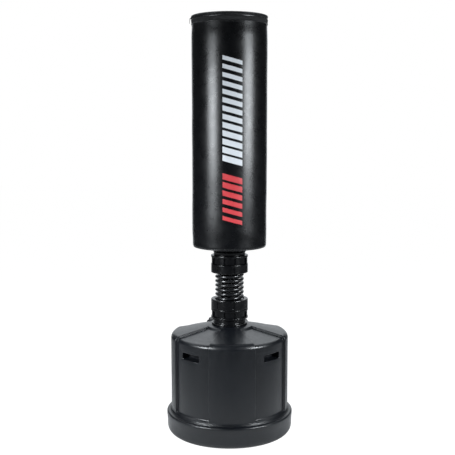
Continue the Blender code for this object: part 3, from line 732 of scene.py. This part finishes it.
def lock_ring(name, body, node, a, b, c, d, bore, flip):
    s = -1.0 if flip else 1.0
    pts = [(bore, a), (RING_R, a, 0.0012), (RING_R, b, 0.0011), (WAIST_R, b, 0.0006), (WAIST_R, c, 0.0006)]
    if d is not None:
        pts += [(RING_R, c, 0.0011), (RING_R, d, 0.0012), (0.0648, d)]
    else:
        pts += [(0.0648, c)]
    pts += [(0.0648, a + 0.010 * s), (bore, a + 0.010 * s)]
    outline = refine(soften(pts, 0.0006, True, 3), 0.004)
    parts = [turn(outline, np.arange(168) * 360.0 / 168, True)]
    lo, hi = sorted((b, c))
    for k in range(GRIPS):
        # a lug: a rounded pad whose face follows the ring
        bm = bmesh.new()
        n = 10
        az0 = LUG_PHASE + 360.0 * k / GRIPS
        half = 7.8
        low = lo - (0.0006 if not (flip and d is None) else 0.0)
        high = hi + 0.0006
        if flip and d is None:
            low = lo + 0.0004
        prof = [(WAIST_R - 0.001, low), (LUG_R - 0.0008, low), (LUG_R, low + 0.0008), (LUG_R, high - 0.0008), (LUG_R - 0.0008, high), (WAIST_R - 0.001, high)]
        rows = []
        for i in range(n + 1):
            t = -1 + 2 * i / n
            az = az0 + half * t
            pull = 0.0010 * max(0.0, (abs(t) - 0.86) / 0.14) ** 2
            rows.append([bm.verts.new(spot(az, r - (pull if r > WAIST_R else 0.0), z)) for r, z in prof])
        for p, q in zip(rows, rows[1:]):
            for i in range(len(prof)):
                j = (i + 1) % len(prof)
                bm.faces.new((p[i], p[j], q[j], q[i]))
        bm.faces.new(rows[0][::-1])
        bm.faces.new(rows[-1])
        bmesh.ops.recalc_face_normals(bm, faces=bm.faces)
        bm.verts.index_update()
        parts.append((np.array([tuple(v.co) for v in bm.verts]), [tuple(v.index for v in f.verts) for f in bm.faces]))
        bm.free()
    obj = joined(name, parts, GLOSS, 38)
    bm = bmesh.new()
    bm.from_mesh(obj.data)
    bmesh.ops.recalc_face_normals(bm, faces=bm.faces)
    bm.to_mesh(obj.data)
    bm.free()
    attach(obj, body)
    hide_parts(node)
    return obj


lock_ring("lower_ring_nut", "lower_ring", "lower_lock_ring", 0.4730, 0.4805, 0.5050, 0.5130, 0.0606, False)
lock_ring("upper_ring_nut", "upper_ring", "upper_lock_ring", 0.7330, 0.7260, 0.6985, None, 0.0591, True)


def housing(name, body, node, z_in, z_out, floor, flip):
    s = -1.0 if flip else 1.0
    pts = [(0.0, floor), (0.0640, floor), (0.0640, z_in), (HOUSING_R, z_in, 0.0012), (HOUSING_R, z_out, 0.0030),
           (0.0606, z_out, 0.0012), (0.0606, floor + 0.009 * s), (0.0, floor + 0.009 * s)]
    outline = soften(pts, 0.0006, False, 4)
    lo, hi = sorted((z_in + 0.006 * s, z_out - 0.004 * s))
    extra = []
    for i in range(len(outline) - 1):
        a, b = outline[i], outline[i + 1]
        extra.append(a)
        if a[0] > 0.0753 and b[0] > 0.0753 and abs(b[1] - a[1]) > 0.01:
            zs = [lo - 0.0012, lo - 0.0005, lo, lo + 0.0005, lo + 0.0012, lo + 0.003, (lo + hi) / 2, hi - 0.003, hi - 0.0012,
                  hi - 0.0005, hi, hi + 0.0005, hi + 0.0012]
            zs = [z for z in zs if min(a[1], b[1]) < z < max(a[1], b[1])]
            for z in (zs if b[1] > a[1] else zs[::-1]):
                extra.append((a[0] + (b[0] - a[0]) * (z - a[1]) / (b[1] - a[1]), z))
    extra.append(outline[-1])
    half = math.degrees(math.asin(0.0030 / HOUSING_R))
    az = []
    for k in range(GRIPS):
        g = GRIP_PHASE + 360.0 * k / GRIPS
        az += [g + e for e in (-half - 0.55, -half - 0.22, -half, -half + 0.25, -half + 0.6, -0.8, 0.8, half - 0.6, half - 0.25, half,
                               half + 0.22, half + 0.55)]
        az += [g + e for e in np.linspace(half + 3.0, 360.0 / GRIPS - half - 3.0, 10)]
    az = np.array(az)

    def shape(r, z, a):
        off = np.abs((a - GRIP_PHASE + 180.0 / GRIPS) % (360.0 / GRIPS) - 180.0 / GRIPS)
        g = ramp01((half + 0.35 - off) / 0.70)
        h = ramp01((z - lo + 0.0008) / 0.0016) * ramp01((hi + 0.0008 - z) / 0.0016)
        return r - 0.0028 * g * h * (r > 0.0740), z

    v, f = turn(extra, az, False, shape=shape)
    obj = raw(name, v, f, GLOSS, 38, fix=True)
    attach(obj, body)
    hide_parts(node)
    return obj


housing("lower_coupling_cup", "base", "lower_spring_housing", 0.5135, 0.5530, 0.4943, False)
housing("upper_coupling_cup", "bag", "upper_spring_housing", 0.6980, 0.6620, 0.7177, True)

CORE_R = 0.0380
upneck = turned("neck_head", [
    (CORE_R + 0.0006, 0.7186), (0.0585, 0.7186), (0.0585, 0.7340), (0.0645, 0.7345, 0.0009), (0.0645, 0.7455, 0.004),
    (0.0700, 0.7512, 0.004), (0.0790, 0.7554, 0.004), (0.0900, 0.7580, 0.0016), (0.0900, 0.7660, 0.0010),
    (CORE_R + 0.0006, 0.7660)], GLOSS, 144, radius=0.0007, n=4)
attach(upneck, "bag")
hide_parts("upper_neck")


# ----------------------------------------------------------------- springs ---
def coil(coil_r, wire_r, z0, z1, pitch, hand, phase, part):
    """Points along one half of a spring with a closed turn at each end."""
    height = z1 - z0
    shut = 2 * wire_r + 0.0006
    turns = (height - 2 * shut) / pitch + 2.0
    steps = int(round(turns * 44))
    pts = []
    for i in range(steps + 1):
        t = turns * i / steps
        if t < 1.0:
            z = z0 + shut * t
        elif t > turns - 1.0:
            z = z1 - shut * (turns - t)
        else:
            # between the closed turns the coil rises at the full pitch
            z = z0 + shut + pitch * (t - 1.0)
        a = phase + hand * 2 * math.pi * t
        pts.append((coil_r * math.cos(a), coil_r * math.sin(a), z))
    mid = 0.5 * (z0 + z1)
    cut = next(i for i, p in enumerate(pts) if p[2] >= mid)
    return pts[:cut + 1] if part == 0 else pts[cut:]


for node_name, cr, wr, hand, phase in (("outer_spring", 0.0530, 0.0060, 1, 0.6), ("inner_spring", 0.0395, 0.0045, -1, 2.2)):
    lower = joined(node_name + "_lower", [tube(coil(cr, wr, 0.5100 + wr, 0.7020 - wr, 0.0180, hand, phase, 0), wr, 14)], STEEL, 60)
    upper = joined(node_name + "_upper", [tube(coil(cr, wr, 0.5100 + wr, 0.7020 - wr, 0.0180, hand, phase, 1), wr, 14)], STEEL, 60)
    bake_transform(lower)
    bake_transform(upper)
    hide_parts(node_name)
    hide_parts(node_name)

# --------------------------------------------------------------- bag cover ---
BAG_R, BAG_Z0, COVER_TOP = 0.1500, 0.7663, 1.6725
NA = 160


def cover_outline():
    pts = [(0.0450, BAG_Z0 + 0.0004), (0.0700, BAG_Z0 + 0.0002), (0.0950, BAG_Z0), (0.1200, BAG_Z0), (0.1330, BAG_Z0 + 0.0001)]
    for a in np.linspace(-80, 0, 9):
        pts.append((BAG_R - 0.0126 + 0.0120 * math.cos(math.radians(a)), BAG_Z0 + 0.0122 + 0.0120 * math.sin(math.radians(a))))
    zs = np.linspace(0.7900, COVER_TOP - 0.0080, 96)
    pts += [(BAG_R - 0.0006, float(z)) for z in zs]
    pts += [(BAG_R - 0.0006, COVER_TOP - 0.0040), (BAG_R - 0.0004, COVER_TOP - 0.0004)]
    return pts


cpts = cover_outline()
caz = np.arange(NA) * 360.0 / NA
cv, cf = turn(cpts, caz, False)
cv = cv.reshape(len(cpts), NA, 3)
cz = np.array([p[1] for p in cpts])
hold = ramp01((cz - 0.79) / 0.05) * ramp01((COVER_TOP - 0.024 - cz) / 0.05)
dr = wobble(np.radians(caz)[None, :] * 2.0, cz[:, None] * 11.0, 5, 0.0011) * hold[:, None]
dr += (0.0016 - 0.35 * dr.max()) * hold[:, None]
rad = np.hypot(cv[..., 0], cv[..., 1])
side = (rad > 0.14)[..., None]
cv[..., :2] *= np.where(side, ((rad + np.broadcast_to(dr, rad.shape)) / rad)[..., None], 1.0)
cover = raw("bag_cover_skin", cv.reshape(-1, 3), cf, PU, 60)
rest = np.array([tuple(v.co) for v in cover.data.vertices])
# the padding presses outwards against the skin, which is held at its two ends
pin = cover.vertex_groups.new(name="held")
grip = [i for i, p in enumerate(rest) if p[2] < 0.786 or p[2] > COVER_TOP - 0.024]
pin.add(grip, 1.0, 'REPLACE')
cm = cover.modifiers.new("cloth", 'CLOTH')
cs = cm.settings
cs.quality = 6
cs.mass = 0.4
cs.tension_stiffness = 60
cs.compression_stiffness = 60
cs.shear_stiffness = 30
cs.bending_stiffness = 2.0
cs.use_pressure = True
cs.uniform_pressure_force = 8.0
cs.effector_weights.gravity = 0.0
cs.vertex_group_mass = "held"
cm.collision_settings.use_collision = False
cm.point_cache.frame_start = 1
cm.point_cache.frame_end = 16
for f in range(1, 17):
    scene.frame_set(f)
dg = bpy.context.evaluated_depsgraph_get()
ev = cover.evaluated_get(dg).to_mesh()
moved = np.array([tuple(v.co) for v in ev.vertices])
cover.evaluated_get(dg).to_mesh_clear()
cover.modifiers.clear()
scene.frame_set(1)
shift = moved - rest
size = np.linalg.norm(shift, axis=1)
shift *= np.minimum(1.0, 0.0016 / np.maximum(size, 1e-9))[:, None]
new = rest + shift
rn = np.hypot(new[:, 0], new[:, 1])
rn_ok = np.minimum(rn, BAG_R + 0.0026)
new[:, :2] *= (rn_ok / np.maximum(rn, 1e-9))[:, None]
cover.data.vertices.foreach_set("co", new.astype(np.float32).ravel())
cover.data.update()
sub = cover.modifiers.new("smooth", 'SUBSURF')
sub.levels = sub.render_levels = 1
apply_all(cover)
cover.data.shade_smooth()
tree = BVHTree.FromObject(cover, bpy.context.evaluated_depsgraph_get())
thick = cover.modifiers.new("thick", 'SOLIDIFY')
thick.thickness = 0.0016
thick.offset = -1.0
apply_all(cover)
cover.data.shade_smooth()
cover.data.set_sharp_from_angle(angle=math.radians(60))
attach(cover, "bag")
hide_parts("bag_cover")


def skin_r(az, z):
    """Radius of the bag's skin in a direction, at a height."""
    a = math.radians(az)
    out = Vector((math.sin(a), -math.cos(a), 0.0))
    hit = tree.ray_cast(out * 0.30 + Vector((0, 0, z)), -out, 0.30)
    if hit[0] is None:
        return BAG_R
    return math.hypot(hit[0].x, hit[0].y)


# printed stripes on the front: slanted bars, a long white set over a short red one
def bar(az0, az1, z_mid, high, slant, lift=0.00022):
    """One slanted bar as a thin raised film."""
    nu, nv = 14, max(2, int(high / 0.006))
    verts, faces = [], []
    for i in range(nu + 1):
        az = az0 + (az1 - az0) * i / nu
        s = math.radians(az - 0.5 * (az0 + az1)) * BAG_R
        for j in range(nv + 1):
            z = z_mid + s * slant + high * (j / nv - 0.5)
            edge = i in (0, nu) or j in (0, nv)
            verts.append(tuple(spot(az, skin_r(az, z) + (lift if not edge else 0.00005), z)))
    for i in range(nu):
        for j in range(nv):
            a = i * (nv + 1) + j
            faces.append((a, a + nv + 1, a + nv + 2, a + 1))
    return np.array(verts), faces


def stripes(name, z_lo, z_hi, count, cover_lo, cover_hi, mat, az0=-12.8, az1=16.7, slant=-0.27):
    pitch = (z_hi - z_lo) / count
    parts = []
    for k in range(count):
        t = k / max(count - 1, 1)
        high = pitch * (cover_lo + (cover_hi - cover_lo) * t)
        parts.append(bar(az0, az1, z_lo + pitch * (k + 0.5), high, slant))
    obj = joined(name, parts, mat, 60)
    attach(obj, "bag")
    return obj


stripes("print_white", 1.106, 1.519, 13, 0.74, 0.50, WHITE)
stripes("print_red", 0.873, 1.067, 6, 0.50, 0.74, RED)

# sewn strip down the back, where the skin is closed
parts = []
half_w = 4.6
zs = np.linspace(0.7860, 1.6492, 120)
uu = np.array([-1.0, -0.985, -0.93, -0.6, -0.2, 0.2, 0.6, 0.93, 0.985, 1.0])
lift = np.array([0.0, 0.0007, 0.0009, 0.0008, 0.00095, 0.00095, 0.0008, 0.0009, 0.0007, 0.0])
sv = []
for z in zs:
    for u, h in zip(uu, lift):
        az = 180.0 + half_w * u
        sv.append(tuple(spot(az, skin_r(az, z) + h, z)))
sf = []
for i in range(len(zs) - 1):
    for k in range(len(uu) - 1):
        a = i * len(uu) + k
        sf.append((a, a + 1, a + len(uu) + 1, a + len(uu)))
strip = raw("back_seam_strip", sv, sf, PU, 50)
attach(strip, "bag")
one = stitch(0.0042, 0.0011, 0.0006)
mats = []
for side_az in (-3.4, 3.4):
    for z in np.arange(0.7900, 1.6455, 0.0056):
        az = 180.0 + side_az
        mats.append(face_out(az, skin_r(az, z) + 0.00075, z, 90.0))
# one row round the top of the cover, under the facing of the zip
for k in range(172):
    az = k * 360.0 / 172
    mats.append(face_out(az, skin_r(az, 1.6455) + 0.0002, 1.6455))
# and one along the facing itself
for k in range(172):
    az = (k + 0.5) * 360.0 / 172
    mats.append(face_out(az, 0.1519, 1.6660))
seams = joined("cover_stitches", placed(one, mats), THREAD, 60)
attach(seams, "bag")

# bottom seam: a narrow welt where the round end panel meets the side
welt = joined("bottom_welt", [ring_tube(0.1456, 0.7697, 0.00115, 200, 8)], PU, 60)
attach(welt, "bag")

# woven facing under the zip, with a bead sewn along its lower edge
facing = turned("zip_facing_band", [(0.1502, 1.6698), (0.1515, 1.6692), (0.1518, 1.6645), (0.1513, 1.6612), (0.1507, 1.6540),
                                    (0.1500, 1.6530), (0.1494, 1.6535), (0.1494, 1.6696)], FACING, 240, radius=0.0005, step=0.004)
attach(facing, "bag")
bead = joined("facing_bead", [ring_tube(0.1497, 1.6512, 0.0024, 240, 12)], PU_LID, 60)
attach(bead, "bag")

# ------------------------------------------------------------- lid and zip ---
LID_TOP = 1.6870


def lid_shape(r, z, az):
    """Small gathers round the top edge and a slightly uneven skirt."""
    w = np.radians(az)
    top = ramp01((z - 1.6855) / 0.0006)
    rim = ramp01((r - 0.095) / 0.045)
    pucker = (0.55 * np.sin(31 * w + 0.8 * np.sin(3 * w)) + 0.45 * np.sin(47 * w + 1.3)) * 0.00022
    z = z + top * (rim * pucker + 0.0000)
    skirt = ramp01((1.6822 - z) / 0.003) * ramp01((r - 0.1505) / 0.0006)
    r = r + skirt * (0.00015 * np.sin(5 * w + 0.7) + 0.00010 * np.sin(23 * w))
    return r, z


lid_pts = [(0.0, LID_TOP - 0.0001), (0.0300, LID_TOP - 0.0001, 0.01), (0.1180, LID_TOP - 0.0003, 0.02), (0.1400, LID_TOP - 0.0005, 0.006),
           (0.1468, LID_TOP - 0.0016, 0.003), (0.1494, LID_TOP - 0.0034, 0.002), (0.1508, 1.6812, 0.0015), (0.1514, 1.6802, 0.001),
           (0.1518, 1.6794, 0.0005), (0.1515, 1.6786), (0.1509, 1.6785),
           (0.1503, 1.6790), (0.1503, 1.6803), (0.1484, 1.6815), (0.1484, 1.6825), (0.1430, 1.6850), (0.0, 1.6850)]
lid = turned("lid_skin", lid_pts, PU_LID, 288, closed=False, radius=0.0003, n=3, shape=lid_shape, step=0.006, smooth=60)
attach(lid, "bag")
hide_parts("bag_lid")

trim = joined("lid_piping", [ring_tube(0.1497, 1.6822, 0.0017, 240, 12)], PU_LID, 60)
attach(trim, "bag")
mats = []
for k in range(186):
    az = (k + 0.5) * 360.0 / 186
    mats.append(face_out(az, 0.1519, 1.6797))
lid_st = joined("lid_stitches", placed(one, mats), THREAD, 60)
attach(lid_st, "bag")

# zip: woven tape with a moulded coil standing out of it under the hem
tape = turned("zip_woven_tape", [(0.1500, 1.6783), (0.1500, 1.6728), (0.1478, 1.6728), (0.1478, 1.6800), (0.1498, 1.6800), (0.1498, 1.6783)],
              TAPE, 200, radius=0.0004)
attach(tape, "bag")
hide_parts("zip_tape")
tooth = bevel_box((0.0011, 0.0011, 0.0017), Matrix.Identity(4), 0.0003, 1)
mats = []
for k in range(480):
    az = k * 0.75
    mats.append(face_out(az, 0.1503, 1.6757 + (0.0009 if k % 2 else -0.0009)))
teeth = joined("zip_teeth", placed(tooth, mats), ZIPM, 40)
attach(teeth, "bag")

# slider: a rounded body with a bridge, and the pull on it
SAZ = 270.0
body = bevel_box((0.0084, 0.0030, 0.0074), face_out(SAZ, 0.1500 + 0.0003 + 0.0019, 1.6743), 0.0009, 3)
nose = bevel_box((0.0050, 0.0012, 0.0060), face_out(SAZ, 0.1500 + 0.0003 + 0.0036, 1.6743), 0.0005, 2)
bridge_path = []
for a in np.linspace(-90, 90, 9):
    bridge_path.append(face_out(SAZ, 0.1503 + 0.0035 + 0.0010 * math.cos(math.radians(a)), 1.6743 + 0.0026 * math.sin(math.radians(a))).translation)
bridge = tube(bridge_path, 0.0004, 8)
slider = joined("slider_body", [body, nose, bridge], ZIPM, 45)
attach(slider, "slider")
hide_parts("zip_slider")

prof = []
pull_c = 1.6738 + 0.0010 - 0.0100
for sgn in (1,):
    bm = bmesh.new()
    outline_p = []
    for a in np.linspace(0, 180, 9):
        outline_p.append((0.0030 * math.cos(math.radians(a)), 0.0070 + 0.0030 * math.sin(math.radians(a))))
    for a in np.linspace(180, 360, 13):
        outline_p.append((0.0035 * math.cos(math.radians(a)), -0.0065 + 0.0035 * math.sin(math.radians(a))))
    hole = [(0.0016 * math.cos(math.radians(a)), 0.0066 + 0.0019 * math.sin(math.radians(a))) for a in np.linspace(0, 360, 15)[:-1]]
    vs = [bm.verts.new((x, -0.0008, z)) for x, z in outline_p]
    hs = [bm.verts.new((x, -0.0008, z)) for x, z in hole]
    es = [bm.edges.new((vs[i], vs[(i + 1) % len(vs)])) for i in range(len(vs))]
    es += [bm.edges.new((hs[i], hs[(i + 1) % len(hs)])) for i in range(len(hs))]
    bmesh.ops.triangle_fill(bm, edges=es, use_beauty=True)
    geom = bmesh.ops.extrude_face_region(bm, geom=bm.faces[:])
    bmesh.ops.translate(bm, verts=[g for g in geom["geom"] if isinstance(g, bmesh.types.BMVert)], vec=(0, 0.0016, 0))
    bmesh.ops.recalc_face_normals(bm, faces=bm.faces)
    bm.transform(face_out(SAZ, 0.1503 + 0.0070, pull_c))
    mesh = bpy.data.meshes.new("pull_tab")
    bm.to_mesh(mesh)
    bm.free()
pull = link(mesh, "pull_tab", ZIPM, 35)
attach(pull, "pull")
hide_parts("zip_pull")

# ------------------------------------------------------------------- stage ---
floor_mat = bpy.data.materials.new("studio_floor")
floor_mat.use_nodes = True
fb = floor_mat.node_tree.nodes["Principled BSDF"]
fb.inputs["Base Color"].default_value = (0.90, 0.90, 0.90, 1)
fb.inputs["Roughness"].default_value = 0.9
fb.inputs["Specular IOR Level"].default_value = 0.1
fo = floor_mat.node_tree.nodes["Material Output"]
fl = floor_mat.node_tree.nodes.new("ShaderNodeLightPath")
fe = floor_mat.node_tree.nodes.new("ShaderNodeEmission")
fe.inputs["Color"].default_value = (1.0, 1.0, 1.0, 1)
fe.inputs["Strength"].default_value = 1.24
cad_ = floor_mat.node_tree.nodes.new("ShaderNodeMath")
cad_.operation = 'MULTIPLY'
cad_.inputs[1].default_value = 0.80
fm = floor_mat.node_tree.nodes.new("ShaderNodeMixShader")
floor_mat.node_tree.links.new(fl.outputs["Is Camera Ray"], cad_.inputs[0])
floor_mat.node_tree.links.new(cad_.outputs[0], fm.inputs[0])
floor_mat.node_tree.links.new(fb.outputs[0], fm.inputs[1])
floor_mat.node_tree.links.new(fe.outputs[0], fm.inputs[2])
floor_mat.node_tree.links.new(fm.outputs[0], fo.inputs["Surface"])
bm = bmesh.new()
bmesh.ops.create_grid(bm, x_segments=2, y_segments=2, size=14.0)
mesh = bpy.data.meshes.new("floor")
bm.to_mesh(mesh)
bm.free()
floor = bpy.data.objects.new("floor", mesh)
scene.collection.objects.link(floor)
mesh.materials.append(floor_mat)
floor.location = (0, 0, -0.0005)

world = bpy.data.worlds.new("studio")
scene.world = world
world.use_nodes = True
wt = world.node_tree
wt.nodes.clear()
out = wt.nodes.new("ShaderNodeOutputWorld")
lp = wt.nodes.new("ShaderNodeLightPath")
seen = wt.nodes.new("ShaderNodeBackground")
seen.inputs["Color"].default_value = (1, 1, 1, 1)
seen.inputs["Strength"].default_value = 1.0
soft = wt.nodes.new("ShaderNodeBackground")
soft.inputs["Color"].default_value = (0.93, 0.97, 1.0, 1)
soft.inputs["Strength"].default_value = 0.04
mixw = wt.nodes.new("ShaderNodeMixShader")
wt.links.new(lp.outputs["Is Camera Ray"], mixw.inputs[0])
wt.links.new(soft.outputs[0], mixw.inputs[1])
wt.links.new(seen.outputs[0], mixw.inputs[2])
wt.links.new(mixw.outputs[0], out.inputs["Surface"])
scene.view_settings.view_transform = 'Standard'


def softbox(name, az, dist, z, wide, high, power, aim_z, spread=180.0, shape='RECTANGLE'):
    data = bpy.data.lights.new(name, 'AREA')
    data.shape = shape
    data.size = wide
    data.size_y = high
    data.energy = power
    data.spread = math.radians(spread)
    data.color = (0.915, 0.96, 1.0)
    obj = bpy.data.objects.new(name, data)
    scene.collection.objects.link(obj)
    obj.location = spot(az, dist, z)
    to = Vector((0, 0, aim_z)) - obj.location
    obj.rotation_euler = to.to_track_quat('-Z', 'Y').to_euler()
    obj.visible_camera = False
    return obj


softbox("strip_left", CAM_AZ - 51.4, 2.4, 1.30, 1.12, 0.72, 9.0, 1.28, 90)
softbox("strip_right", CAM_AZ + 57.6, 2.4, 1.40, 1.12, 0.82, 11.4, 1.34, 90)
softbox("low_left", CAM_AZ - 50.0, 2.4, 1.45, 0.75, 0.60, 5.9, 0.34, 48)
softbox("low_right", CAM_AZ + 54.0, 2.4, 1.45, 0.75, 0.60, 4.0, 0.34, 48)
softbox("top", CAM_AZ + 180.0, 0.5, 3.2, 1.2, 1.2, 0.7, 0.6, 32)
softbox("back", CAM_AZ + 180.0, 3.0, 1.4, 3.2, 2.8, 28, 1.4)
softbox("side_high_left", CAM_AZ - 112.0, 2.2, 3.0, 2.2, 1.1, 3.0, 0.4, 80)
softbox("side_high_right", CAM_AZ + 112.0, 2.2, 3.0, 2.2, 1.1, 2.0, 0.4, 80)
softbox("back_high", CAM_AZ + 180.0, 2.5, 3.1, 4.2, 1.7, 15, 0.4, 100)
